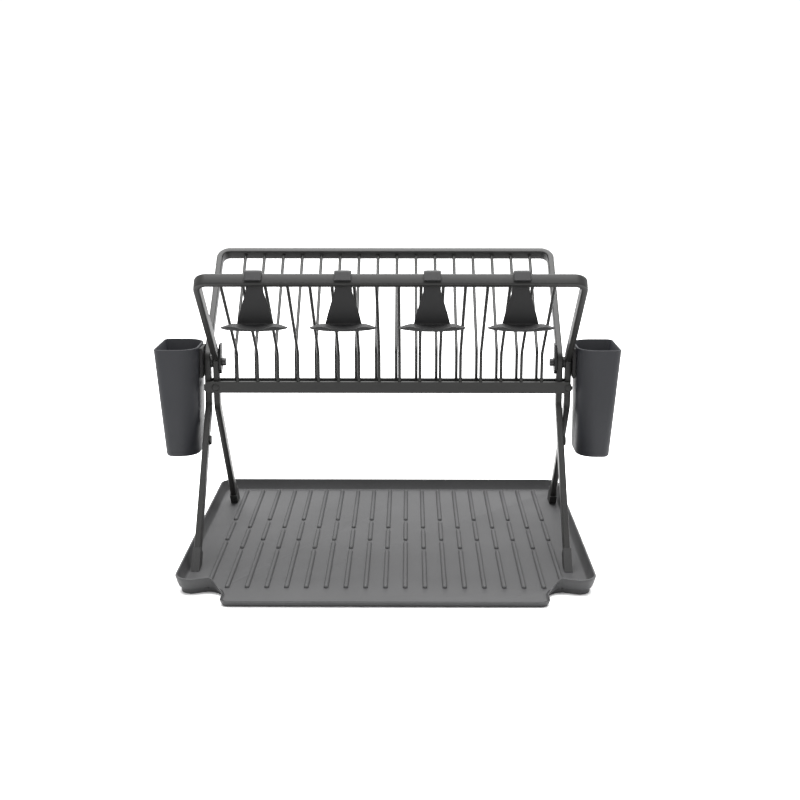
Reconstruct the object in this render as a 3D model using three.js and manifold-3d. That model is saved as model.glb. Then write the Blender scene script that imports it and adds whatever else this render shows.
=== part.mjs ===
// Folding dish and bottle drying rack on a drip tray: two identical bent-bar frames that cross
// at a pivot, wire slots between them, a cutlery cup at each end and four stem-glass holders.
// Millimetres, +Z up, -Y is the front (the side with the drain lip). The origin is the centre
// of the footprint, on the surface that the tray stands on.

import * as THREE from "three";
import { mergeVertices } from "three/addons/utils/BufferGeometryUtils.js";
import Module from "manifold-3d";

const wasm = await Module();
wasm.setup();

// ---------- driving dimensions ----------
const GAP = 0.3; // clearance between pieces that meet face to face

const FLOOR_Z = 4.5; // drip tray's floor, where the frames' feet stand
const RACK_Y = 22; // the pivots' place from front to back
const PIVOT_Z = 194;
const FLARE_Z = 198.5; // above this the arms flare
const SPLAY_Z = 148.5; // below this the legs splay
const TOP_REACH = 120; // pivot to the top bar, front to back
const TOP_Z = 296.5;
const FOOT_REACH = 117;
const FRAME_WIDTH = 380; // outside to outside of one frame
const FRAME_SHIFT = 4.5; // each frame stands this far off centre, so that their arms pass
const BAR = { thick: 6.5, wide: 12, corner: 11.2, bend: 14, chamfer: 0.9 };

const WIRE = { radius: 1.7, count: 16, pitch: 21.45, reach: 8.8, bend: 12, shift: 1.85 };
const LOWER_BAR = { bottom: 162.5, top: 174.5, thick: 5, near: 6.3, half: 194.5 };

const TRAY = {
  half: 204, // half the width at the rim
  back: 189,
  front: -160, // outside of the rim at the front corners
  lip: -189, // front edge of the drain lip
  lipHalf: 156,
  rim: 17,
  wall: 2.2,
  under: 1.7, // underside of the floor
  ring: 9, // width of the flat ring that it stands on
  corner: 18,
};
const RIB = { count: 19, pitch: 19.16, wide: 4.5, high: 2 };
// each rib is three ridges in line, [start, end] from back to front; odd and even ribs differ
const RIB_ROWS = {
  even: [[177.5, 62.7], [55, -7], [-14, -149.6]],
  odd: [[177.5, 35.1], [28, -33.9], [-41, -149.6]],
};

const CUP = {
  inner: 198, // nearest the rack, at the rim
  outer: 243,
  depth: 72,
  rim: 213,
  bottom: 97.5,
  wall: 2,
};
const HOLDER_XS = [-6, -2, 2, 6].map((n) => WIRE.shift + n * WIRE.pitch);

// ---------- materials ----------
const finish = (color, roughness, metalness = 0) =>
  new THREE.MeshStandardMaterial({ color, roughness, metalness });
const MATERIAL = {
  steel: finish(0x3c3c3b, 0.45, 0.3),
  tray: finish(0x67686a, 0.6),
  cup: finish(0x47484b, 0.55),
  black: finish(0x232323, 0.6),
  holder: finish(0x3f4041, 0.6),
  rubber: finish(0x1b1b1b, 0.85),
};

const rack = new THREE.Group();

function addMesh(name, geometry, material) {
  const mesh = new THREE.Mesh(geometry, material);
  mesh.name = name;
  rack.add(mesh);
  return mesh;
}

// ---------- solids ----------
// A closed geometry as a manifold-3d solid, and back.
function solid(geometry) {
  const bare = new THREE.BufferGeometry();
  const source = geometry.index ? geometry.toNonIndexed() : geometry;
  bare.setAttribute("position", source.getAttribute("position"));
  const merged = mergeVertices(bare, 1e-3);
  return new wasm.Manifold(
    new wasm.Mesh({
      numProp: 3,
      vertProperties: new Float32Array(merged.attributes.position.array),
      triVerts: new Uint32Array(merged.index.array),
    }),
  );
}

function geometryOf(made) {
  const mesh = made.getMesh();
  const positions = new Float32Array(mesh.numVert * 3);
  for (let i = 0; i < mesh.numVert; i++) {
    const from = i * mesh.numProp;
    positions.set(mesh.vertProperties.subarray(from, from + 3), i * 3);
  }
  const geometry = new THREE.BufferGeometry();
  geometry.setAttribute("position", new THREE.BufferAttribute(positions, 3));
  geometry.setIndex(new THREE.BufferAttribute(new Uint32Array(mesh.triVerts), 1));
  return geometry;
}

const box = (x0, x1, y0, y1, z0, z1) =>
  new THREE.BoxGeometry(x1 - x0, y1 - y0, z1 - z0).translate(
    (x0 + x1) / 2,
    (y0 + y1) / 2,
    (z0 + z1) / 2,
  );

// A cylinder along X.
const rod = (radius, x0, x1, y, z, sides = 20) =>
  new THREE.CylinderGeometry(radius, radius, Math.abs(x1 - x0), sides)
    .rotateZ(Math.PI / 2)
    .translate((x0 + x1) / 2, y, z);

// A flat outline in Y and Z, [y, z] points, given a thickness along X.
function slabX(points, x0, x1) {
  const shape = new THREE.Shape(points.map(([y, z]) => new THREE.Vector2(y, z)));
  const geometry = new THREE.ExtrudeGeometry(shape, { depth: x1 - x0, bevelEnabled: false });
  // the shape's x, y and depth become Y, Z and X
  const turn = new THREE.Matrix4().makeBasis(
    new THREE.Vector3(0, 1, 0),
    new THREE.Vector3(0, 0, 1),
    new THREE.Vector3(1, 0, 0),
  );
  return geometry.applyMatrix4(turn).translate(x0, 0, 0);
}

// A rounded rectangle with a radius for each corner, front-left first and counter-clockwise.
function roundedRectangle(x0, x1, y0, y1, [fl, fr, br, bl]) {
  const shape = new THREE.Shape();
  shape.absarc(x1 - fr, y0 + fr, fr, -Math.PI / 2, 0);
  shape.absarc(x1 - br, y1 - br, br, 0, Math.PI / 2);
  shape.absarc(x0 + bl, y1 - bl, bl, Math.PI / 2, Math.PI);
  shape.absarc(x0 + fl, y0 + fl, fl, Math.PI, 1.5 * Math.PI);
  return shape;
}

// A solid through outlines at rising heights, [shape, z] pairs. All outlines have as many points.
function loft(levels, cornerSteps = 5) {
  const rings = levels.map(([shape, z]) => {
    const points = shape.getPoints(cornerSteps);
    if (points[0].distanceTo(points.at(-1)) < 1e-4) points.pop();
    return points.map((p) => new THREE.Vector3(p.x, p.y, z));
  });
  const count = rings[0].length;
  const positions = rings.flat().flatMap((p) => [p.x, p.y, p.z]);
  const index = [];
  rings.slice(1).forEach((_, r) => {
    for (let i = 0; i < count; i++) {
      const a = r * count + i;
      const b = r * count + ((i + 1) % count);
      index.push(a, b, b + count, a, b + count, a + count);
    }
  });
  const last = (rings.length - 1) * count;
  const flat = (ring) => ring.map((p) => new THREE.Vector2(p.x, p.y));
  for (const [a, b, c] of THREE.ShapeUtils.triangulateShape(flat(rings[0]), [])) {
    index.push(c, b, a);
  }
  for (const [a, b, c] of THREE.ShapeUtils.triangulateShape(flat(rings.at(-1)), [])) {
    index.push(last + a, last + b, last + c);
  }
  const geometry = new THREE.BufferGeometry();
  geometry.setAttribute("position", new THREE.Float32BufferAttribute(positions, 3));
  geometry.setIndex(index);
  return geometry;
}

// A path of straight stretches, sampled at exactly the points it is given.
class Route extends THREE.Curve {
  constructor(points) {
    super();
    this.points = points;
  }
  getPoint(t) {
    const at = t * (this.points.length - 1);
    const i = Math.min(Math.floor(at), this.points.length - 2);
    return this.points[i].clone().lerp(this.points[i + 1], at - i);
  }
  getUtoTmapping(u) {
    return u;
  }
  getTangent(t) {
    const i = Math.round(t * (this.points.length - 1));
    const before = this.points[Math.max(i - 1, 0)];
    const here = this.points[i];
    const after = this.points[Math.min(i + 1, this.points.length - 1)];
    const sum = new THREE.Vector3();
    for (const step of [here.clone().sub(before), after.clone().sub(here)]) {
      if (step.length() > 0) sum.add(step.normalize());
    }
    return sum.normalize();
  }
}

// The corners of a path, [point, bend radius] pairs, with each bend rounded into short chords.
function bent(corners, chords) {
  const points = [];
  corners.forEach(([corner, radius], i) => {
    if (!radius) {
      points.push(corner);
      return;
    }
    const back = corners[i - 1][0].clone().sub(corner).normalize();
    const on = corners[i + 1][0].clone().sub(corner).normalize();
    const half = back.angleTo(on) / 2;
    const centre = back.clone().add(on).normalize().multiplyScalar(radius / Math.sin(half));
    centre.add(corner);
    const start = back.clone().multiplyScalar(radius / Math.tan(half)).add(corner).sub(centre);
    const axis = new THREE.Vector3().crossVectors(back, on).normalize().negate();
    for (let k = 0; k <= chords; k++) {
      const turned = start.clone().applyAxisAngle(axis, ((Math.PI - 2 * half) * k) / chords);
      points.push(turned.add(centre));
    }
  });
  return points;
}

// A bar of the given section swept along a path.
const swept = (points, section) =>
  new THREE.ExtrudeGeometry(section, {
    steps: points.length - 1,
    bevelEnabled: false,
    extrudePath: new Route(points),
  });

// The two sides of the rack: the front-top frame (-1 in Y) is shifted to +X, the other to -X.
const FRAMES = [
  { name: "front", way: -1, shift: FRAME_SHIFT },
  { name: "rear", way: 1, shift: -FRAME_SHIFT },
];
const at = (x, y, z) => new THREE.Vector3(x, RACK_Y + y, z);

// Unit direction up a flared arm, and the one square to it on the outside of the V.
function armDirections(way) {
  const up = new THREE.Vector3(0, way * TOP_REACH, TOP_Z - FLARE_Z).normalize();
  const out = new THREE.Vector3(0, way * up.z, -Math.abs(up.y));
  return { up, out };
}

// Unit direction down a splayed leg.
const legDirection = (way) =>
  new THREE.Vector3(0, -way * FOOT_REACH, FLOOR_Z - SPLAY_Z).normalize();

// ---------- frames ----------
function barSection() {
  const x = BAR.thick / 2;
  const y = BAR.wide / 2;
  const c = BAR.chamfer;
  const corners = [
    [x, y - c], [x - c, y], [-x + c, y], [-x, y - c],
    [-x, -y + c], [-x + c, -y], [x - c, -y], [x, -y + c],
  ];
  return new THREE.Shape(corners.map(([a, b]) => new THREE.Vector2(a, b)));
}

const LEG_END = 6; // how far above the floor a leg ends, inside its foot cap

function addFrame({ name, way, shift }) {
  const half = (FRAME_WIDTH - BAR.thick) / 2;
  const legEnd = at(0, -way * FOOT_REACH, FLOOR_Z);
  legEnd.addScaledVector(legDirection(way), -LEG_END / Math.abs(legDirection(way).z));
  const side = (x) => [
    [new THREE.Vector3(x, legEnd.y, legEnd.z), 0],
    [at(x, 0, SPLAY_Z), BAR.bend],
    [at(x, 0, FLARE_Z), 8],
    [at(x, way * TOP_REACH, TOP_Z), BAR.corner],
  ];
  const corners = [...side(shift - half), ...side(shift + half).reverse()];
  let frame = solid(swept(bent(corners, 5), barSection()));
  for (const x of [shift - half, shift + half]) {
    const hole = rod(PIN.shaft + GAP, x - BAR.thick, x + BAR.thick, RACK_Y, PIVOT_Z);
    frame = frame.subtract(solid(hole));
  }
  addMesh(`${name}_frame`, geometryOf(frame), MATERIAL.steel);
}

// A plastic cap over the end of each leg, cut flat where it stands on the tray.
function addFootCap({ name, way, shift }, side) {
  const along = legDirection(way);
  const high = 20;
  const wide = BAR.wide + 3;
  const x = shift + (side * (FRAME_WIDTH - BAR.thick)) / 2;
  const tilt = Math.atan2(along.y, -along.z);
  const cap = box(-4, 4, -wide / 2, wide / 2, 0, 2 * high)
    .translate(0, 0, -high)
    .rotateX(tilt)
    .translate(x, RACK_Y - way * FOOT_REACH, FLOOR_Z);
  const socket = box(
    -BAR.thick / 2 - GAP, BAR.thick / 2 + GAP,
    -BAR.wide / 2 - GAP, BAR.wide / 2 + GAP,
    (LEG_END - 1) / Math.abs(along.z), 3 * high,
  ).rotateX(tilt).translate(x, RACK_Y - way * FOOT_REACH, FLOOR_Z);
  const far = 300;
  const below = box(-far, far, -far, far, -far, FLOOR_Z + GAP);
  const made = solid(cap).subtract(solid(socket)).subtract(solid(below));
  const end = side < 0 ? "left" : "right";
  const standing = way < 0 ? "rear" : "front";
  addMesh(`foot_cap_${standing}_${end}`, geometryOf(made), MATERIAL.rubber);
}

// ---------- wire slots ----------
// The flat bar low in the V that the wires stand on, with chamfered ends.
function addLowerBar({ name, way }) {
  const { bottom, top, thick, near, half } = LOWER_BAR;
  const cut = 3;
  const outline = new THREE.Shape(
    [
      [-half, bottom + cut], [-half + cut, bottom], [half - cut, bottom],
      [half, bottom + cut], [half, top - cut], [half - cut, top],
      [-half + cut, top], [-half, top - cut],
    ].map(([x, z]) => new THREE.Vector2(x, z)),
  );
  const middle = RACK_Y + way * (near + thick / 2);
  const bar = new THREE.ExtrudeGeometry(outline, { depth: thick, bevelEnabled: false })
    .rotateX(Math.PI / 2)
    .translate(0, middle + thick / 2, 0);
  addMesh(`${name}_lower_bar`, bar, MATERIAL.steel);
}

const WIRE_BEND_Z = 205;

function wireSection(sides = 6) {
  const turn = (k) => ((k + 0.5) / sides) * 2 * Math.PI;
  const points = Array.from(
    { length: sides },
    (_, k) =>
      new THREE.Vector2(WIRE.radius * Math.cos(turn(k)), WIRE.radius * Math.sin(turn(k))),
  );
  return new THREE.Shape(points);
}

// A wire rises from the lower bar, then follows the arms up to the underside of the top bar.
function addWires({ name, way, shift }) {
  const { up } = armDirections(way);
  const bottom = LOWER_BAR.top + GAP;
  for (let i = 0; i < WIRE.count; i++) {
    const x = Math.sign(shift) * WIRE.shift + (i - (WIRE.count - 1) / 2) * WIRE.pitch;
    const end = at(x, way * TOP_REACH, TOP_Z)
      .addScaledVector(up, -(BAR.thick / 2 + GAP + 0.1));
    const corners = [
      [at(x, way * WIRE.reach, bottom), 0],
      [at(x, way * WIRE.reach, WIRE_BEND_Z), WIRE.bend],
      [end, 0],
    ];
    const number = String(i + 1).padStart(2, "0");
    const wire = swept(bent(corners, 4), wireSection());
    addMesh(`${name}_wire_${number}`, wire, MATERIAL.steel);
  }
}

// ---------- pivots ----------
// Across each end, from the middle outwards: leaf, inner arm, spacer, outer arm, cup hook.
const ARM = { inner: (FRAME_WIDTH - BAR.thick) / 2 - FRAME_SHIFT, half: BAR.thick / 2 };
const LEAF = { inside: 176.4, outside: ARM.inner - ARM.half - GAP };
const BETWEEN = {
  from: ARM.inner + ARM.half + GAP,
  to: ARM.inner + 2 * FRAME_SHIFT - ARM.half - GAP,
};
const SPACER_RADIUS = 6;
const BUTTON = { radius: 5, thick: 2.2, z: 115 };
const PIN = { shaft: 3, head: 4.25, neckEnd: 196.2, cap: 5.4, end: 197.4, start: 171.6 };

// The leaf lies flat inside the inner arm, under the knob of the pivot pin.
function addLeaf(side) {
  const outline = [
    [-3, -12], [3, -12], [8, -7], [8, 4], [6.5, 19.5], [-6.5, 19.5], [-8, 4], [-8, -7],
  ];
  const points = outline.map(([y, z]) => [RACK_Y + y, PIVOT_Z + z]);
  const [x0, x1] = ends(side, LEAF.inside, LEAF.outside);
  const plate = solid(slabX(points, x0, x1))
    .subtract(solid(rod(PIN.shaft + GAP, x0 - 1, x1 + 1, RACK_Y, PIVOT_Z)));
  addMesh(`hinge_leaf_${sideName(side)}`, geometryOf(plate), MATERIAL.black);
}

const sideName = (side) => (side < 0 ? "left" : "right");
// The two distances from the middle as X coordinates on one side, low first.
const ends = (side, a, b) => [side * a, side * b].sort((m, n) => m - n);

// A round piece turned about an axis along X: [radius, distance from the middle] steps.
function turnedX(profile, side, y, z, sides = 20) {
  const points = profile.map(([r, x]) => new THREE.Vector2(r, x));
  const geometry = new THREE.LatheGeometry(points, sides);
  const turned = geometry.rotateZ(-Math.PI / 2); // the lathe's Y becomes X
  if (side < 0) turned.rotateY(Math.PI);
  return turned.translate(0, y, z);
}

function addPivotPin(side) {
  const profile = [
    [0, PIN.start], [PIN.head, PIN.start], [PIN.head, LEAF.inside - GAP],
    [PIN.shaft, LEAF.inside - GAP], [PIN.shaft, PIN.neckEnd],
    [PIN.cap, PIN.neckEnd], [PIN.cap, PIN.end], [0, PIN.end],
  ];
  addMesh(`pivot_pin_${sideName(side)}`, turnedX(profile, side, RACK_Y, PIVOT_Z), MATERIAL.steel);
}

// The ring that keeps the two arms apart at the pivot.
function addSpacer(side) {
  const bore = PIN.shaft + GAP;
  const profile = [
    [bore, BETWEEN.from], [SPACER_RADIUS, BETWEEN.from], [SPACER_RADIUS, BETWEEN.to],
    [bore, BETWEEN.to],
    [bore, BETWEEN.from],
  ];
  addMesh(`hinge_spacer_${sideName(side)}`, turnedX(profile, side, RACK_Y, PIVOT_Z),
    MATERIAL.black);
}

// A button on each front leg that keeps it off the other frame's arm when the rack is folded.
function addLegButton(side) {
  const inside = side < 0; // the rear-top frame's leg is the outer one on the left
  const [near, far] = inside
    ? [BETWEEN.to + GAP - BUTTON.thick, BETWEEN.to]
    : [BETWEEN.from, BETWEEN.from - GAP + BUTTON.thick];
  const { radius, z } = BUTTON;
  const profile = [[0, near], [radius, near], [radius, far], [0, far]];
  const y = RACK_Y - (FOOT_REACH * (SPLAY_Z - z)) / (SPLAY_Z - FLOOR_Z);
  addMesh(`leg_button_${sideName(side)}`, turnedX(profile, side, y, z), MATERIAL.black);
}

// ---------- cutlery cups ----------
function cupOutline(side, inner, outer, depth, inset) {
  const round = { near: 20 - inset, far: 7 - inset };
  const [x0, x1] = ends(side, inner + inset, outer - inset);
  const y0 = RACK_Y - depth / 2 + inset;
  const y1 = RACK_Y + depth / 2 - inset;
  const left = side < 0 ? round.far : round.near;
  const right = side < 0 ? round.near : round.far;
  return roundedRectangle(x0, x1, y0, y1, [left, right, right, left]);
}

function addCup(side) {
  const { inner, outer, depth, rim, bottom, wall } = CUP;
  const taper = { inner: 1.5, outer: 9, depth: 8 };
  const level = (share, z, inset) => [
    cupOutline(
      side,
      inner + taper.inner * (1 - share),
      outer - taper.outer * (1 - share),
      depth - taper.depth * (1 - share),
      inset,
    ),
    z,
  ];
  const outside = loft([level(0, bottom, 2.2), level(0.02, bottom + 2.2, 0), level(1, rim, 0)]);
  const inside = loft([level(0, bottom + wall, 4), level(0.03, bottom + 4, wall),
    level(1.01, rim + 1, wall)]);
  addMesh(`cutlery_cup_${sideName(side)}`, geometryOf(solid(outside).subtract(solid(inside))),
    MATERIAL.cup);
}

// The hook on a cup's back drops over the neck of the pivot pin.
function addCupHook(side) {
  const reach = 15;
  const top = PIVOT_Z + 17;
  const bottom = PIVOT_Z - 14.5;
  const outer = CUP.inner - GAP;
  const [x0, x1] = ends(side, LOWER_BAR.half + GAP, outer);
  const [h0, h1] = ends(side, PIN.neckEnd - GAP, outer + 1);
  const [n0, n1] = ends(side, 190, outer + 1);
  const block = box(x0, x1, RACK_Y - reach, RACK_Y + reach, bottom, top);
  const slot = (a, b, half, up) =>
    solid(box(a, b, RACK_Y - half, RACK_Y + half, bottom - 1, PIVOT_Z + up));
  const made = solid(block)
    .subtract(slot(n0, n1, PIN.shaft + GAP, PIN.shaft + GAP))
    .subtract(slot(h0, h1, PIN.cap + GAP, PIN.cap + GAP));
  addMesh(`cup_hook_${sideName(side)}`, geometryOf(made), MATERIAL.black);
}

// ---------- stem-glass holders ----------
// Each is one bent strip: a lip over the front top bar, a back wall, a neck that hangs straight
// down between two wires, and a wing plate that runs forward under it.
const HOLDER = { half: 8.2, wall: 2.6, lip: 3.2, back: -7, neckY: -110.8, plateZ: 249.5 };
// half the neck's width at each height, narrowest where it passes between the wires
const NECK = [[299, 9.4], [289, 8.4], [284, 8.6], [275, 11.5], [262, 15.5], [250, 18]];
// half the wing plate's width at each distance forward of the neck
const WINGS = [[-2.4, 17], [2, 23], [8, 30], [11, 32.5], [15, 30.5], [20, 24.5], [24, 17], [26, 9]];

// A flat outline mirrored about X = 0 from [station, half width] pairs.
const mirrored = (pairs) =>
  new THREE.Shape([
    ...pairs.map(([station, half]) => new THREE.Vector2(half, station)),
    ...pairs.map(([station, half]) => new THREE.Vector2(-half, station)).reverse(),
  ]);

function addHolder(x, number) {
  const { up, out } = armDirections(-1);
  const centre = at(0, -TOP_REACH, TOP_Z);
  const corner = (u, n) => {
    const p = centre.clone().addScaledVector(up, u).addScaledVector(out, n);
    return [p.y, p.z];
  };
  const { half, wall, lip, back, plateZ } = HOLDER;
  const u = BAR.thick / 2 + GAP;
  const n = BAR.wide / 2 + GAP;
  const hook = [
    corner(u, lip), corner(u + wall, lip), corner(u + wall, -n - wall),
    corner(back, -n - wall), corner(back, -n), corner(u, -n),
  ];
  const y = RACK_Y + HOLDER.neckY;
  const neck = new THREE.ExtrudeGeometry(mirrored(NECK), { depth: wall, bevelEnabled: false })
    .rotateX(Math.PI / 2)
    .translate(x, y + wall, 0);
  const plate = new THREE.ExtrudeGeometry(mirrored(WINGS), { depth: wall, bevelEnabled: false })
    .rotateX(Math.PI)
    .translate(x, y, plateZ + wall);
  const made = solid(slabX(hook, x - half, x + half)).add(solid(neck)).add(solid(plate));
  addMesh(`glass_holder_${number}`, geometryOf(made), MATERIAL.holder);
}

// ---------- drip tray ----------
function trayOutline(inset, frontInset = inset) {
  const r = TRAY.corner - inset * 0.6;
  return roundedRectangle(
    -TRAY.half + inset, TRAY.half - inset, TRAY.front + frontInset, TRAY.back - inset,
    [r, r, r, r],
  );
}

// One drip ridge with sloping sides, from y0 back to y1.
function ridge(x, y1, y0) {
  const { wide, high } = RIB;
  const section = new THREE.Shape(
    [
      [-wide / 2, -1], [wide / 2, -1], [wide / 2, 0], [wide / 4, high],
      [-wide / 4, high], [-wide / 2, 0],
    ].map(([a, b]) => new THREE.Vector2(a, b)),
  );
  return new THREE.ExtrudeGeometry(section, { depth: y1 - y0, bevelEnabled: false })
    .rotateX(Math.PI / 2)
    .translate(x, y1, FLOOR_Z);
}

function addTray() {
  const { half, back, front, lip, lipHalf, rim, wall, under, ring } = TRAY;
  const outside = loft([
    [trayOutline(6), 0], [trayOutline(4.6), 1.2], [trayOutline(2.6), 8], [trayOutline(0), rim],
  ]);
  const recess = loft([[trayOutline(6 + ring), -1], [trayOutline(6 + ring), under]]);
  const inside = loft([
    [trayOutline(4.4 + wall), FLOOR_Z], [trayOutline(3 + wall), FLOOR_Z + 1.4],
    [trayOutline(wall), rim + 0.5],
  ]);
  // the front wall is open between its corners, and the floor runs on as the drain lip
  const mouth = box(-lipHalf - 4, lipHalf + 4, front - 10, front + 14, FLOOR_Z, rim + 5);
  const lipTop = new THREE.Shape();
  const step = 4;
  lipTop.moveTo(-lipHalf - step, front + 12);
  lipTop.lineTo(-lipHalf - step, front + 3);
  lipTop.quadraticCurveTo(-lipHalf, front - 8, -lipHalf, lip + 8);
  lipTop.quadraticCurveTo(-lipHalf, lip, -lipHalf + 8, lip);
  lipTop.lineTo(lipHalf - 8, lip);
  lipTop.quadraticCurveTo(lipHalf, lip, lipHalf, lip + 8);
  lipTop.quadraticCurveTo(lipHalf, front - 8, lipHalf + step, front + 3);
  lipTop.lineTo(lipHalf + step, front + 12);
  const lipPlate = new THREE.ExtrudeGeometry(lipTop, {
    depth: FLOOR_Z - under, bevelEnabled: false, curveSegments: 6,
  }).translate(0, 0, under);
  let tray = solid(outside).subtract(solid(inside)).subtract(solid(mouth)).add(solid(lipPlate));
  tray = tray.subtract(solid(recess));
  // a falling side wall on each end of the lip
  for (const side of [-1, 1]) {
    const [x0, x1] = ends(side, lipHalf + step - 2.2, lipHalf + step + 0.2);
    const cheek = [
      [front + 14, under], [front + 14, rim - 0.5], [front + 4, rim - 0.5], [front - 3, rim - 4],
      [front - 8, FLOOR_Z + 3], [front - 12, FLOOR_Z], [front - 12, under],
    ];
    tray = tray.add(solid(slabX([...cheek].reverse(), x0, x1)));
  }
  for (let i = 0; i < RIB.count; i++) {
    const x = (i - (RIB.count - 1) / 2) * RIB.pitch;
    for (const [start, end] of i % 2 ? RIB_ROWS.odd : RIB_ROWS.even) {
      tray = tray.add(solid(ridge(x, start, end)));
    }
  }
  addMesh("drip_tray", geometryOf(tray), MATERIAL.tray);
}

addTray();
for (const side of [-1, 1]) {
  addPivotPin(side);
  addLeaf(side);
  addSpacer(side);
  addLegButton(side);
  addCup(side);
  addCupHook(side);
}
for (const frame of FRAMES) {
  addFrame(frame);
  addFootCap(frame, -1);
  addFootCap(frame, 1);
  addLowerBar(frame);
  addWires(frame);
}
HOLDER_XS.forEach((x, i) => addHolder(x, i + 1));

export default rack;
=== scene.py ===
"""Looks for the folding dish rack: the wires, frames, cups and tray get smooth detailed pieces,
and the other CAD solids stay, with rounded edges and materials."""

import math

import bpy
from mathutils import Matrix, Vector


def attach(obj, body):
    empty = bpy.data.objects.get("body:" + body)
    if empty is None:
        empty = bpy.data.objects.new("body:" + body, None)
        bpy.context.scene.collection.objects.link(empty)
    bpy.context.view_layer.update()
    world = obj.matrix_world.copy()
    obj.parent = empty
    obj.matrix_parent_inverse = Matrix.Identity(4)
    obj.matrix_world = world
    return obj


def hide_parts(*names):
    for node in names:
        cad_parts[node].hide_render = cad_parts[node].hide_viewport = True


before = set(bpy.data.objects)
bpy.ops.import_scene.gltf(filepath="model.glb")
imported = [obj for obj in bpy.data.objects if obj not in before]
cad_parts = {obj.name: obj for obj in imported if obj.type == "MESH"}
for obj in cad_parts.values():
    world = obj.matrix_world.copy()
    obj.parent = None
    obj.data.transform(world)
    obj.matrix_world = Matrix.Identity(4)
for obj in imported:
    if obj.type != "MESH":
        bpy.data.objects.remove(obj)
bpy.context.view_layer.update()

MM = 0.001

# ---------- sizes shared with the CAD, in metres ----------
FLOOR_Z = 4.5 * MM
RACK_Y = 22 * MM
FLARE_Z = 198.5 * MM
SPLAY_Z = 148.5 * MM
TOP_REACH = 120 * MM
TOP_Z = 296.5 * MM
FOOT_REACH = 117 * MM
FRAME_WIDTH = 380 * MM
FRAME_SHIFT = 4.5 * MM
BAR_THICK = 6.5 * MM
BAR_WIDE = 12 * MM
BAR_ROUND = 1.3 * MM
LEG_END = 6 * MM
SIDE_BEND = 14 * MM
FLARE_BEND = 8 * MM
CORNER_BEND = 11.2 * MM

WIRE_RADIUS = 1.7 * MM
WIRE_COUNT = 16
WIRE_PITCH = 21.45 * MM
WIRE_SHIFT = 1.85 * MM
WIRE_REACH = 8.8 * MM
WIRE_BEND_Z = 205 * MM
WIRE_BEND = 12 * MM
WIRE_SIDES = 14
INTO_BAR = 1 * MM  # how far a wire's end runs into a bar
LOWER_BAR_TOP = 174.5 * MM
LOWER_BAR_BOTTOM = 162.5 * MM
BAR_FACE = 11.3 * MM  # from the rack's middle to the face of a lower bar
RIVET_SIDES = 24
# a rivet head's outline, (radius, how far proud of the bar) in millimetres
RIVET_HEAD = ((4.2, -0.3), (4.2, 0.3), (3.7, 0.75), (2.6, 1), (1.2, 1.1))

TRAY_HALF = 204 * MM
TRAY_BACK = 189 * MM
TRAY_FRONT = -160 * MM
TRAY_LIP = -189 * MM
LIP_HALF = 156 * MM
STEP_HALF = 162 * MM
LIP_ROUND = 9 * MM
COVE = 8 * MM  # hollow corner between the lip and the tray's front
RIM_RISE_FROM = 157 * MM  # the rim climbs from the lip's height to the full one over this stretch
RIM_RISE = 14 * MM
TRAY_RIM = 17 * MM
LIP_RIM = 5.6 * MM
TRAY_CORNER = 18 * MM
TRAY_WALL = 2.2 * MM
RIB_COUNT = 19
RIB_PITCH = 19.16 * MM
RIB_HALF = 2.3 * MM
RIB_HIGH = 2.6 * MM
# each rib is three ridges in line, (back end, front end) in millimetres
RIB_ROWS = (
    ((177.5, 62.7), (55, -7), (-14, -149.6)),
    ((177.5, 35.1), (28, -33.9), (-41, -149.6)),
)

CUP_INNER = 198 * MM
CUP_OUTER = 243 * MM
CUP_DEPTH = 72 * MM
CUP_RIM = 213 * MM
CUP_BOTTOM = 97.5 * MM
CUP_WALL = 2 * MM
CUP_ROUND_FAR = 7 * MM  # corners away from the rack
CUP_ROUND_NEAR = 20 * MM
CUP_TAPER = {"inner": 1.5 * MM, "outer": 9 * MM, "depth": 8 * MM}

# half the width of a glass holder's neck at each height, and of its wings at each distance
# forward of the neck, in millimetres
HOLDER_NECK = ((299, 9.4), (289, 8.4), (284, 8.6), (275, 11.5), (262, 15.5), (252, 18))
HOLDER_WINGS = ((2, 23), (8, 30), (11, 32.5), (15, 31), (20, 27), (24, 20), (26, 12))
HOLDER_CAP_HALF = 8.2 * MM
HOLDER_THICK = 2.6 * MM
HOLDER_NECK_Y = -109.5 * MM
HOLDER_PLATE_Z = 250.8 * MM
HOLDER_COLUMNS = (-6, -2, 2, 6)  # the gap between wires that each neck passes, from the middle
HOLDER_GAP = 0.3 * MM  # clearance round the bar
HOLDER_WING_HALF = 32.5 * MM

WAYS = {"front": -1, "rear": 1}
SIDES = {"left": -1, "right": 1}


# ---------- materials ----------
SHINE = 0.22
SLOW_SCALE = 14  # of the slow change of tone over a surface
TONE_RANGE = (0.92, 1.08)
EDGE_RANGE = (0.52, 0.62)  # pointiness at which wear starts and is full
WORN_TONE = 2.4
ROUGHNESS_SPREAD = 0.07
RELIEF = 0.15 * MM


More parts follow.
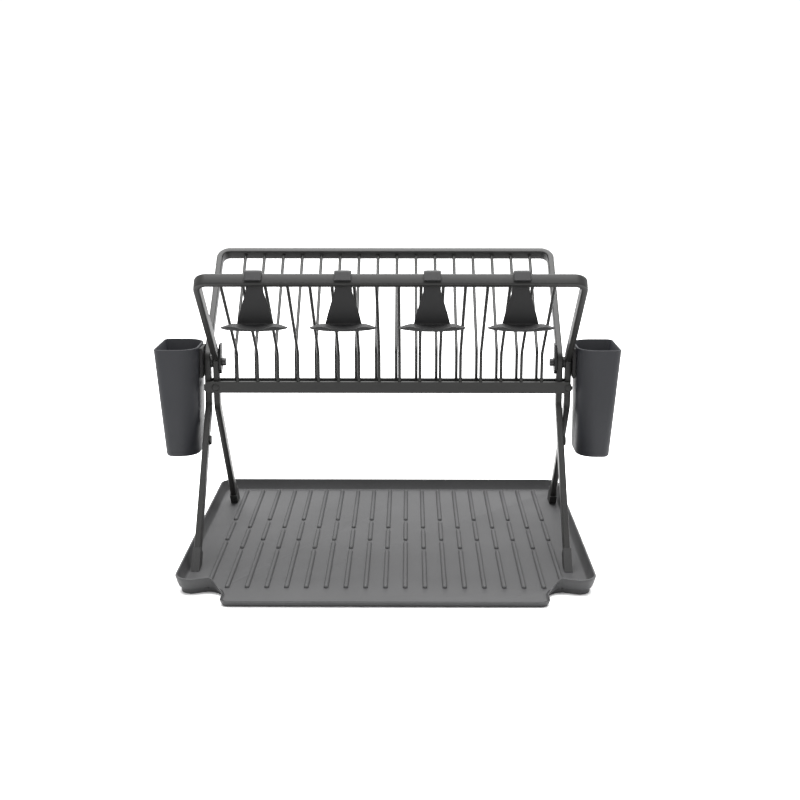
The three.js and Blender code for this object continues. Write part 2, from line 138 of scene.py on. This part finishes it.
def finish(name, color, roughness, grain, bump, metallic=0.0, wear=0.0):
    """A moulded or coated surface: fine grain, slow tone changes and lighter worn edges."""
    material = bpy.data.materials.new(name)
    material.use_nodes = True
    nodes = material.node_tree.nodes
    link = material.node_tree.links.new
    shader = nodes["Principled BSDF"]
    shader.inputs["Metallic"].default_value = metallic
    shader.inputs["Specular IOR Level"].default_value = SHINE
    place = nodes.new("ShaderNodeTexCoord")

    fine = nodes.new("ShaderNodeTexNoise")
    fine.inputs["Scale"].default_value = grain
    fine.inputs["Detail"].default_value = 3
    link(place.outputs["Object"], fine.inputs["Vector"])
    slow = nodes.new("ShaderNodeTexNoise")
    slow.inputs["Scale"].default_value = SLOW_SCALE
    slow.inputs["Detail"].default_value = 4
    link(place.outputs["Object"], slow.inputs["Vector"])

    tone = nodes.new("ShaderNodeValToRGB")
    tone.color_ramp.elements[0].position = 0.3
    tone.color_ramp.elements[0].color = (*[c * TONE_RANGE[0] for c in color], 1)
    tone.color_ramp.elements[1].position = 0.72
    tone.color_ramp.elements[1].color = (*[c * TONE_RANGE[1] for c in color], 1)
    link(slow.outputs["Fac"], tone.inputs["Fac"])

    edges = nodes.new("ShaderNodeNewGeometry")
    worn = nodes.new("ShaderNodeMapRange")
    worn.inputs["From Min"].default_value = EDGE_RANGE[0]
    worn.inputs["From Max"].default_value = EDGE_RANGE[1]
    worn.inputs["To Max"].default_value = wear
    link(edges.outputs["Pointiness"], worn.inputs["Value"])
    mix = nodes.new("ShaderNodeMix")
    mix.data_type = "RGBA"
    link(worn.outputs["Result"], mix.inputs["Factor"])
    link(tone.outputs["Color"], mix.inputs["A"])
    mix.inputs["B"].default_value = (*[min(c * WORN_TONE, 1) for c in color], 1)
    link(mix.outputs["Result"], shader.inputs["Base Color"])

    rough = nodes.new("ShaderNodeMapRange")
    rough.inputs["To Min"].default_value = roughness - ROUGHNESS_SPREAD
    rough.inputs["To Max"].default_value = roughness + ROUGHNESS_SPREAD
    link(fine.outputs["Fac"], rough.inputs["Value"])
    link(rough.outputs["Result"], shader.inputs["Roughness"])
    relief = nodes.new("ShaderNodeBump")
    relief.inputs["Strength"].default_value = bump
    relief.inputs["Distance"].default_value = RELIEF
    link(fine.outputs["Fac"], relief.inputs["Height"])
    link(relief.outputs["Normal"], shader.inputs["Normal"])
    return material


LOOKS = {
    "frame_steel": finish("powder_coat", (0.0125, 0.0125, 0.012), 0.42, 1500, 0.25, wear=0.15),
    "tray_plastic": finish("tray_plastic", (0.037, 0.037, 0.038), 0.5, 1100, 0.3, wear=0.1),
    "cup_plastic": finish("cup_plastic", (0.0155, 0.0162, 0.019), 0.5, 1300, 0.25, wear=0.1),
    "holder_plastic": finish("holder_plastic", (0.0125, 0.0125, 0.013), 0.5, 1300, 0.25, wear=0.1),
    "hinge_plastic": finish("hinge_plastic", (0.005, 0.005, 0.005), 0.5, 1300, 0.2),
    "cap_plastic": finish("cap_rubber", (0.026, 0.026, 0.026), 0.7, 900, 0.4),
    "pin_steel": finish("pin_steel", (0.03, 0.03, 0.03), 0.38, 1500, 0.15, metallic=0.3),
}


# ---------- meshes ----------
def piece(name, verts, faces, body, slot, replaced=(), sharp=35):
    """A smooth-shaded mesh that rides on a body and takes its finish from a slot."""
    mesh = bpy.data.meshes.new(name)
    mesh.from_pydata([tuple(v) for v in verts], [], faces)
    mesh.validate()
    mesh.shade_smooth()
    mesh.set_sharp_from_angle(angle=math.radians(sharp))
    made = bpy.data.objects.new(name, mesh)
    bpy.context.scene.collection.objects.link(made)
    mesh.materials.append(LOOKS[slot])
    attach(made, body)
    if replaced:
        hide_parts(*replaced)
    return made


def skin(rings, offset=0):
    """Faces of a closed body through rings of equal size, outwards if the rings turn left."""
    count = len(rings[0])
    faces = []
    for r in range(len(rings) - 1):
        for i in range(count):
            a = offset + r * count + i
            b = offset + r * count + (i + 1) % count
            faces.append((a, b, b + count, a + count))
    faces.append(tuple(offset + i for i in reversed(range(count))))
    last = offset + (len(rings) - 1) * count
    faces.append(tuple(last + i for i in range(count)))
    return faces


def ring_piece(name, rings, body, slot, replaced=(), sharp=35):
    """A piece with one closed skin through rings."""
    verts = [v for ring in rings for v in ring]
    return piece(name, verts, skin(rings), body, slot, replaced, sharp)


def bent(corners, chords=12):
    """A path through corners, (point, radius) pairs, with each bend a true arc of chords."""
    points = []
    for i, (corner, radius) in enumerate(corners):
        if not radius:
            points.append(corner)
            continue
        back = (corners[i - 1][0] - corner).normalized()
        on = (corners[i + 1][0] - corner).normalized()
        half = back.angle(on) / 2
        centre = corner + (back + on).normalized() * (radius / math.sin(half))
        start = (corner + back * (radius / math.tan(half)) - centre).normalized()
        end = (corner + on * (radius / math.tan(half)) - centre).normalized()
        for k in range(chords + 1):
            points.append(centre + start.slerp(end, k / chords) * radius)
    return points


def tangents(points):
    """The direction of a path at each of its points."""
    result = []
    for i, here in enumerate(points):
        before = points[max(i - 1, 0)]
        after = points[min(i + 1, len(points) - 1)]
        step = (here - before).normalized() + (after - here).normalized()
        result.append(step.normalized())
    return result


def rack_point(x, y, z):
    """A point given from the middle of the rack, front to back."""
    return Vector((x, RACK_Y + y, z))


def arm_up(way):
    """Direction up a flared arm."""
    return Vector((0, way * TOP_REACH, TOP_Z - FLARE_Z)).normalized()


# ---------- frames ----------
def bar_section(steps=4):
    """Flat bar with rounded edges: (thickness, width) offsets, turning left."""
    a = BAR_THICK / 2 - BAR_ROUND
    b = BAR_WIDE / 2 - BAR_ROUND
    section = []
    for quarter, (x, y) in enumerate(((a, b), (-a, b), (-a, -b), (a, -b))):
        for k in range(steps + 1):
            turn = (quarter + k / steps) * math.pi / 2
            section.append((x + BAR_ROUND * math.cos(turn), y + BAR_ROUND * math.sin(turn)))
    return section


def frame_piece(name, way):
    shift = -way * FRAME_SHIFT
    half = (FRAME_WIDTH - BAR_THICK) / 2
    leg = Vector((0, -way * FOOT_REACH, FLOOR_Z - SPLAY_Z)).normalized()
    foot = rack_point(0, -way * FOOT_REACH, FLOOR_Z) + leg * (LEG_END / leg.z)

    def side(x):
        return [
            (Vector((x, foot.y, foot.z)), 0),
            (rack_point(x, 0, SPLAY_Z), SIDE_BEND),
            (rack_point(x, 0, FLARE_Z), FLARE_BEND),
            (rack_point(x, way * TOP_REACH, TOP_Z), CORNER_BEND),
        ]

    points = bent(side(shift - half) + side(shift + half)[::-1])
    up = arm_up(way)
    out = Vector((0, way * up.z, -abs(up.y)))
    rings = []
    for point, along in zip(points, tangents(points)):
        wide = out
        if abs(along.x) < 1e-4:
            wide = Vector((1, 0, 0)).cross(along) * (-way * math.copysign(1, along.z))
        thick = wide.cross(along)
        rings.append([point + thick * a + wide * b for a, b in bar_section()])
    ring_piece(f"{name}_frame_bar", rings, f"{name}_frame", "frame_steel", [f"{name}_frame"])


def wire_piece(name, way, number):
    """One rod of the plate slots, let into the bars at both ends."""
    up = arm_up(way)
    x = -way * WIRE_SHIFT + (number - 1 - (WIRE_COUNT - 1) / 2) * WIRE_PITCH
    points = bent([
        (rack_point(x, way * WIRE_REACH, LOWER_BAR_TOP - INTO_BAR), 0),
        (rack_point(x, way * WIRE_REACH, WIRE_BEND_Z), WIRE_BEND),
        (rack_point(x, way * TOP_REACH, TOP_Z) - up * (BAR_THICK / 2 - INTO_BAR), 0),
    ])
    sideways = Vector((1, 0, 0))
    rings = []
    for point, along in zip(points, tangents(points)):
        across = along.cross(sideways)
        turns = [2 * math.pi * k / WIRE_SIDES for k in range(WIRE_SIDES)]
        rings.append([point + (sideways * math.cos(t) + across * math.sin(t)) * WIRE_RADIUS
                      for t in turns])
    node = f"{name}_wire_{number:02d}"
    ring_piece(f"{node}_rod", rings, f"{name}_frame", "frame_steel", [node])


def rivet_piece(name, way, end, side):
    """A low domed head that holds the lower bar to its own frame's arm."""
    x = -way * FRAME_SHIFT + side * (FRAME_WIDTH - BAR_THICK) / 2
    z = (LOWER_BAR_TOP + LOWER_BAR_BOTTOM) / 2
    rings = []
    for radius, proud in RIVET_HEAD:
        ring = []
        for k in range(RIVET_SIDES):
            turn = -way * 2 * math.pi * k / RIVET_SIDES
            ring.append(rack_point(x + radius * MM * math.cos(turn), way * (BAR_FACE + proud * MM),
                                   z - radius * MM * math.sin(turn)))
        rings.append(ring)
    ring_piece(f"{name}_rivet_{end}", rings, f"{name}_frame", "frame_steel")


# ---------- cutlery cups ----------
def cup_ring(side, share, z, inset):
    """The cup's outline at a height: share is 0 at the bottom and 1 at the rim."""
    inner = CUP_INNER + CUP_TAPER["inner"] * (1 - share) + inset
    outer = CUP_OUTER - CUP_TAPER["outer"] * (1 - share) - inset
    half = (CUP_DEPTH - CUP_TAPER["depth"] * (1 - share)) / 2 - inset
    x0, x1 = sorted((side * inner, side * outer))
    far = max(CUP_ROUND_FAR - inset, 2 * MM)
    near = max(CUP_ROUND_NEAR - inset, 3 * MM)
    ring = []
    for quarter, (x, y) in enumerate(((x1, half), (x0, half), (x0, -half), (x1, -half))):
        on_right = x == x1
        radius = far if on_right == (side > 0) else near
        cx = x - radius if on_right else x + radius
        cy = RACK_Y + y - math.copysign(radius, y)
        for k in range(9):
            turn = (quarter + k / 8) * math.pi / 2
            ring.append(Vector((cx + radius * math.cos(turn), cy + radius * math.sin(turn), z)))
    return ring


def cup_piece(end, side):
    wall = CUP_WALL
    middle = (CUP_BOTTOM + CUP_RIM) / 2
    # (share of height, height, inset): bottom edge, outer wall, rolled rim, inner wall, floor
    levels = [
        (0, CUP_BOTTOM, 4 * MM), (0, CUP_BOTTOM + 0.3 * MM, 2 * MM),
        (0, CUP_BOTTOM + 1.2 * MM, 0.7 * MM), (0.02, CUP_BOTTOM + 3 * MM, 0),
        (0.5, middle, 0), (0.98, CUP_RIM - 1.6 * MM, 0),
        (1, CUP_RIM - 0.6 * MM, 0.05 * MM), (1, CUP_RIM - 0.1 * MM, 0.4 * MM),
        (1, CUP_RIM, 1 * MM), (1, CUP_RIM - 0.1 * MM, wall - 0.3 * MM),
        (1, CUP_RIM - 0.6 * MM, wall), (0.5, middle, wall),
        (0.03, CUP_BOTTOM + 6 * MM, wall), (0.01, CUP_BOTTOM + 3 * MM, wall + 1.2 * MM),
        (0, CUP_BOTTOM + wall, wall + 4 * MM),
    ]
    rings = [cup_ring(side, *level) for level in levels]
    node = f"cutlery_cup_{end}"
    ring_piece(f"{node}_shell", rings, f"basket_{end}", "cup_plastic", [node])


# ---------- drip tray ----------
def arc(cx, cy, radius, start, end, steps=10):
    """Points on a circle, angles in quarter turns."""
    points = []
    for k in range(steps + 1):
        turn = (start + (end - start) * k / steps) * math.pi / 2
        points.append((cx + radius * math.cos(turn), cy + radius * math.sin(turn)))
    return points


def tray_outline():
    """The rim from above, turning left, with the drain lip at the front."""
    r = TRAY_CORNER
    step = STEP_HALF - LIP_HALF
    right = (
        [(x * MM, TRAY_LIP) for x in range(0, 145, 6)]
        + arc(LIP_HALF - LIP_ROUND, TRAY_LIP + LIP_ROUND, LIP_ROUND, -1, 0)
        + arc(STEP_HALF + COVE, TRAY_FRONT - COVE, step + COVE, 2, 1)
        + arc(TRAY_HALF - r, TRAY_FRONT + r, r, -1, 0)
        + [(TRAY_HALF, y * MM) for y in range(-135, 170, 12)]
        + arc(TRAY_HALF - r, TRAY_BACK - r, r, 0, 1)
        + [(x * MM, TRAY_BACK) for x in range(180, 0, -12)]
    )
    left = [(-x, y) for x, y in reversed(right) if x > 0]
    return right + [(0, TRAY_BACK)] + left


def rim_height(x, y):
    """Full height round the tray, falling smoothly to the drain lip."""
    if y > TRAY_FRONT + COVE:
        return TRAY_RIM
    share = (abs(x) - RIM_RISE_FROM) / RIM_RISE
    share = min(max(share, 0), 1)
    return LIP_RIM + (TRAY_RIM - LIP_RIM) * share * share * (3 - 2 * share)


def tray_piece():
    outline = [Vector((x, y, 0)) for x, y in tray_outline()]
    count = len(outline)
    inward = []
    for i in range(count):
        along = (outline[(i + 1) % count] - outline[i - 1]).normalized()
        inward.append(Vector((-along.y, along.x, 0)))
    wall = TRAY_WALL
    base = 1.2 * MM
    crest = (0, 0.93, 0)  # the outermost level, just under the rim
    # (inset, share of the rim's height or None for from the floor up, metres above that)
    levels = [
        (7 * MM, 0, 0), (6.2 * MM, 0, 0.15 * MM), (5.9 * MM, 0, base),
        (5.9 * MM, 0.3, 0), (5.7 * MM, 0.33, 0), (3.6 * MM, 0.35, 0), (2.9 * MM, 0.42, 0),
        (1.7 * MM, 0.6, 0), (0.7 * MM, 0.8, 0), crest, (0.25 * MM, 0.985, 0),
        (1.1 * MM, 1, 0), (1.95 * MM, 0.985, 0), (wall, 0.93, 0),
        (0.9 * MM + wall, 0.7, 0), (3.2 * MM + wall, None, 1.6 * MM),
        (3.9 * MM + wall, None, 0.5 * MM), (5 * MM + wall, None, 0),
    ]
    rings = []
    for inset, share, add in levels:
        ring = []
        for point, inside in zip(outline, inward):
            high = rim_height(point.x, point.y)
            steep = 0.45 + 0.55 * (high - LIP_RIM) / (TRAY_RIM - LIP_RIM)
            z = FLOOR_Z + min(add, high - FLOOR_Z) if share is None else high * share + add
            if inset > base and len(rings) > levels.index(crest):
                z = max(z, FLOOR_Z)
            place = point + inside * (inset * steep)
            ring.append(Vector((place.x, place.y, z)))
        rings.append(ring)
    ring_piece("drip_tray_shell", rings, "tray", "tray_plastic", ["drip_tray"])


def rib_rings(x, back, front):
    """One ridge as rings that rise from the floor to a rounded top with sloping ends."""
    rings = []
    for turn in (0, 0.25, 0.5, 0.75, 0.93):
        half = RIB_HALF * math.cos(turn * math.pi / 2) + 0.1 * MM
        draw = 0.7 * MM * (1 - math.cos(turn * math.pi / 2))
        z = FLOOR_Z - 0.3 * MM + (RIB_HIGH + 0.3 * MM) * math.sin(turn * math.pi / 2)
        low = front * MM + RIB_HALF + draw
        high = back * MM - RIB_HALF - draw
        outline = arc(x, high, half, 0, 2, 8) + arc(x, low, half, 2, 4, 8)
        rings.append([Vector((px, py, z)) for px, py in outline])
    return rings


def tray_ribs():
    verts = []
    faces = []
    for i in range(RIB_COUNT):
        x = (i - (RIB_COUNT - 1) / 2) * RIB_PITCH
        for back, front in RIB_ROWS[i % 2]:
            rings = rib_rings(x, back, front)
            faces += skin(rings, len(verts))
            verts += [v for ring in rings for v in ring]
    piece("drip_tray_ribs", verts, faces, "tray", "tray_plastic", ["drip_tray"], sharp=60)


# ---------- glass holders ----------
def spaced(points, step):
    """The same path with points at most a step apart."""
    result = [points[0]]
    for a, b in zip(points, points[1:]):
        count = max(1, math.ceil((b - a).length / step))
        result += [a.lerp(b, k / count) for k in range(1, count + 1)]
    return result


def between(pairs, value):
    """The width at a station, from (station, width) pairs in rising or falling order."""
    ordered = sorted(pairs)
    if value <= ordered[0][0]:
        return ordered[0][1]
    for (a, wa), (b, wb) in zip(ordered, ordered[1:]):
        if value <= b:
            return wa + (wb - wa) * (value - a) / (b - a)
    return ordered[-1][1]


def holder_half(point):
    """Half the strip's width at a point of its path."""
    forward = (HOLDER_NECK_Y - (point.y - RACK_Y)) / MM
    over_bar = point.y - RACK_Y < -113 * MM and point.z > 290 * MM
    if over_bar or point.z > 299.5 * MM:
        return HOLDER_CAP_HALF
    if point.z > 252.2 * MM:
        return between(HOLDER_NECK, point.z / MM) * MM
    return between(((-1, 18),) + HOLDER_WINGS, forward) * MM


def holder_ring(point, along, x):
    """A flat oval across the strip, with a raised lobe on each wing and a dished middle."""
    half = holder_half(point)
    normal = along.cross(Vector((1, 0, 0)))
    forward = (HOLDER_NECK_Y - (point.y - RACK_Y)) / MM
    on_plate = max(0, min(1, (forward - 1) / 5)) if point.z < 253 * MM else 0
    ring = []
    for k in range(56):
        turn = 2 * math.pi * k / 56
        across = math.copysign(abs(math.cos(turn)) ** 0.55, math.cos(turn)) * half
        thick = math.copysign(abs(math.sin(turn)) ** 0.4, math.sin(turn)) * HOLDER_THICK / 2
        share = min(abs(across) / HOLDER_WING_HALF, 1)
        lobe = math.exp(-(((share - 0.6) / 0.24) ** 2)) * 2.2 * MM
        dish = 0.7 * MM * math.exp(-((share / 0.3) ** 2))
        upper = 1 if thick * normal.z > 0 else 0
        ring.append(point + Vector((x + across, 0, 0)) + normal * thick
                    + Vector((0, 0, on_plate * upper * (lobe - dish))))
    return ring


def holder_piece(number, column):
    up = arm_up(-1)
    out = Vector((0, -up.z, -abs(up.y)))
    bar = rack_point(0, -TOP_REACH, TOP_Z)
    over = BAR_THICK / 2 + HOLDER_THICK / 2 + HOLDER_GAP
    behind = BAR_WIDE / 2 + HOLDER_THICK / 2 + HOLDER_GAP
    path = spaced(bent([
        (bar + up * over + out * 3.2 * MM, 0),
        (bar + up * over - out * behind, 2 * MM),
        (rack_point(0, HOLDER_NECK_Y, 300 * MM), 2.5 * MM),
        (rack_point(0, HOLDER_NECK_Y, HOLDER_PLATE_Z), 3 * MM),
        (rack_point(0, HOLDER_NECK_Y - 26.5 * MM, HOLDER_PLATE_Z), 0),
    ], 6), 1.2 * MM)
    x = WIRE_SHIFT + column * WIRE_PITCH
    rings = [holder_ring(p, t, x) for p, t in zip(path, tangents(path))]
    node = f"glass_holder_{number}"
    ring_piece(f"{node}_strip", rings, "front_frame", "holder_plastic", [node], sharp=50)


# ---------- carried-over solids ----------
def soften(node, slot, width, segments=3):
    """Rounded edges and a material for a CAD solid."""
    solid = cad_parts[node]
    for index in range(len(solid.material_slots)):
        solid.material_slots[index].material = LOOKS[slot]
    if not solid.material_slots:
        solid.data.materials.append(LOOKS[slot])
    bevel = solid.modifiers.new("rounded_edges", "BEVEL")
    bevel.width = width
    bevel.segments = segments
    bevel.limit_method = "ANGLE"
    bevel.angle_limit = math.radians(35)


for name, way in WAYS.items():
    frame_piece(name, way)
    for number in range(1, WIRE_COUNT + 1):
        wire_piece(name, way, number)
    soften(f"{name}_lower_bar", "frame_steel", 0.6 * MM)
    for end, side in SIDES.items():
        soften(f"foot_cap_{name}_{end}", "cap_plastic", 0.8 * MM)
        rivet_piece(name, way, end, side)
for end, side in SIDES.items():
    cup_piece(end, side)
    soften(f"cup_hook_{end}", "hinge_plastic", 0.5 * MM)
    soften(f"pivot_pin_{end}", "pin_steel", 0.6 * MM)
    soften(f"hinge_leaf_{end}", "hinge_plastic", 0.4 * MM)
    soften(f"hinge_spacer_{end}", "hinge_plastic", 0.3 * MM)
    soften(f"leg_button_{end}", "hinge_plastic", 0.6 * MM)
for number, column in enumerate(HOLDER_COLUMNS, 1):
    holder_piece(number, column)
tray_piece()
tray_ribs()


# ---------- studio ----------
FLOOR_HALF = 60
PAPER = 0.97
SKY_STRENGTH = 1.06
LENS = 58.5
CAMERA_PLACE = (0.022, -1.335, 0.456)
CAMERA_PITCH = 12.6  # degrees below the horizon
CAMERA_YAW = 0.38


def floor():
    size = FLOOR_HALF
    mesh = bpy.data.meshes.new("floor")
    mesh.from_pydata([(-size, -size, 0), (size, -size, 0), (size, size, 0), (-size, size, 0)],
                     [], [(0, 1, 2, 3)])
    made = bpy.data.objects.new("floor", mesh)
    bpy.context.scene.collection.objects.link(made)
    paper = bpy.data.materials.new("paper")
    paper.use_nodes = True
    shader = paper.node_tree.nodes["Principled BSDF"]
    shader.inputs["Base Color"].default_value = (PAPER, PAPER, PAPER, 1)
    shader.inputs["Roughness"].default_value = 0.9
    mesh.materials.append(paper)


def soft_light(name, place, target, size, power):
    """A square lamp that faces the target."""
    data = bpy.data.lights.new(name, "AREA")
    data.size = size
    data.energy = power
    lamp = bpy.data.objects.new(name, data)
    lamp.location = place
    lamp.rotation_euler = (Vector(target) - Vector(place)).to_track_quat("-Z", "Y").to_euler()
    bpy.context.scene.collection.objects.link(lamp)


def camera():
    data = bpy.data.cameras.new("camera")
    data.lens = LENS
    data.sensor_width = 36
    made = bpy.data.objects.new("camera", data)
    made.location = CAMERA_PLACE
    made.rotation_euler = (math.radians(90 - CAMERA_PITCH), 0, math.radians(CAMERA_YAW))
    bpy.context.scene.collection.objects.link(made)
    bpy.context.scene.camera = made


floor()
bpy.context.scene.view_settings.view_transform = "Standard"
world = bpy.data.worlds.new("studio")
world.use_nodes = True
world.node_tree.nodes["Background"].inputs["Color"].default_value = (1, 1, 1, 1)
world.node_tree.nodes["Background"].inputs["Strength"].default_value = SKY_STRENGTH
bpy.context.scene.world = world
soft_light("overhead", (0, 0.5, 2.1), (0, 0, 0.1), 2.4, 170)
soft_light("front_fill", (-1.2, -1.8, 1.4), (0, 0, 0.15), 1.6, 2)
camera()
